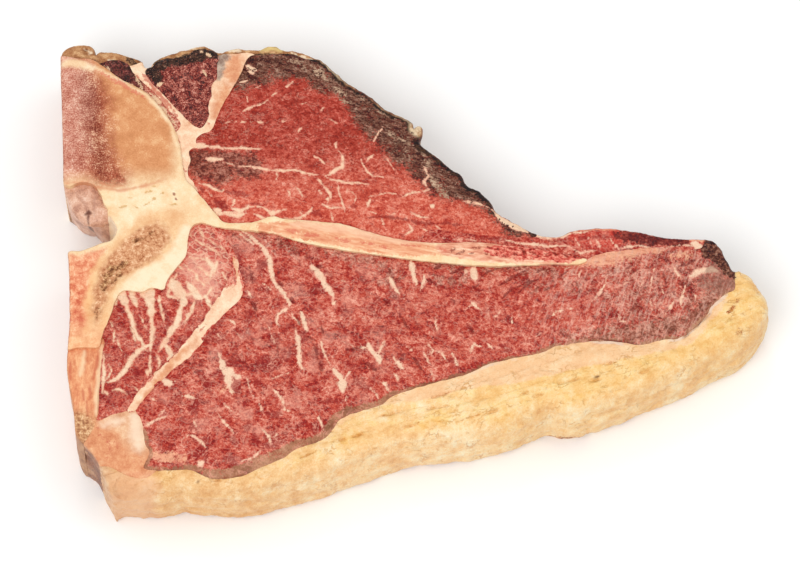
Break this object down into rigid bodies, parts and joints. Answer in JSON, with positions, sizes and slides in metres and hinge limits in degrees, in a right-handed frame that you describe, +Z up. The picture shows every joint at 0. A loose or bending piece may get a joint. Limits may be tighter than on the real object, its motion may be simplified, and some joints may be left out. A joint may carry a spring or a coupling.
{
  "type": "raw t-bone steak",
  "caption": "Thick raw bone-in beef steak: a backbone section and its side process between the fillet and the strip loin, with seams, a ligament and a yellow outer fat cap.",
  "frame": {"origin": "middle of the footprint's bounding box, on the lower cut face", "axes": "+X from the sawn bone side towards the tail of the strip loin, +Y from the fat cap towards the fillet, +Z up out of the upper cut face"},
  "size_m": [0.2648, 0.1796, 0.0373],
  "materials": {
    "bone": "sawn bone, spongy and damp, with a pale cortical rim",
    "cord": "soft, moist, grey pink",
    "ligament": "yellow orange elastic tissue, damp",
    "dark_meat": "dark dried raw muscle",
    "fillet_meat": "fine grained raw muscle, moist",
    "loin_meat": "raw muscle with fine fat flecks, moist",
    "seam_fat": "cream seam fat, waxy",
    "fascia": "tan connective tissue, damp",
    "dried_fat": "thin dried brown fat",
    "outer_fat": "yellow cream fat, waxy"
  },
  "bodies": {
    "root": {"backbone": "bone", "spinal_cord": "cord", "neck_ligament": "ligament", "crus_muscle": "dark_meat", "psoas_minor": "dark_meat", "tenderloin": "fillet_meat", "flank_strip": "loin_meat", "multifidus": "loin_meat", "strip_loin": "loin_meat", "loin_seam_fat": "seam_fat", "fillet_seam_fat": "seam_fat", "fascia_corner": "fascia", "backbone_fat": "dried_fat", "dried_rim": "dried_fat", "fat_cap": "outer_fat"}
  },
  "joints": []
}
